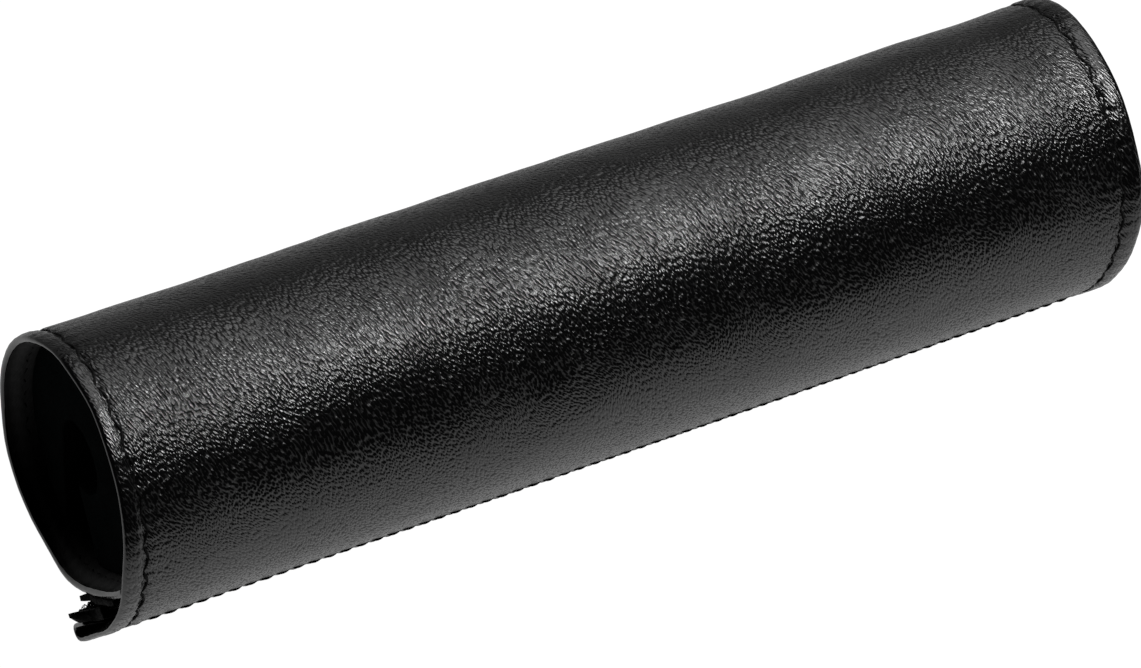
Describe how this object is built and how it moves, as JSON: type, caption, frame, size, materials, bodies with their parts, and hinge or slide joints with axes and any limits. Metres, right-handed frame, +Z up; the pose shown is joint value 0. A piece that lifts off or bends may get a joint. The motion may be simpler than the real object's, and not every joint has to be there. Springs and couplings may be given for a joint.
{
  "type": "handlebar pad",
  "caption": "Soft tubular pad for a bicycle's handlebar or crossbar: a slit foam tube in a stitched leatherette wrap that closes with hook-and-loop tape.",
  "frame": {"origin": "on the surface the pad lies on, under the middle of its bounding box", "axes": "+X along the pad, +Z up; the closing flap hangs on the -Y side"},
  "size_m": [0.236, 0.0608, 0.0612],
  "materials": {
    "leatherette": "black pebbled leatherette, semi-gloss",
    "foam": "black fine-celled foam, fully matt",
    "hook_fabric": "black nylon hook tape, slightly shiny bristles",
    "loop_fabric": "black nylon loop tape, matt pile"
  },
  "bodies": {
    "root": {"leatherette_cover": "leatherette", "foam_core": "foam", "hook_tape": "hook_fabric", "loop_tape": "loop_fabric"}
  },
  "joints": []
}
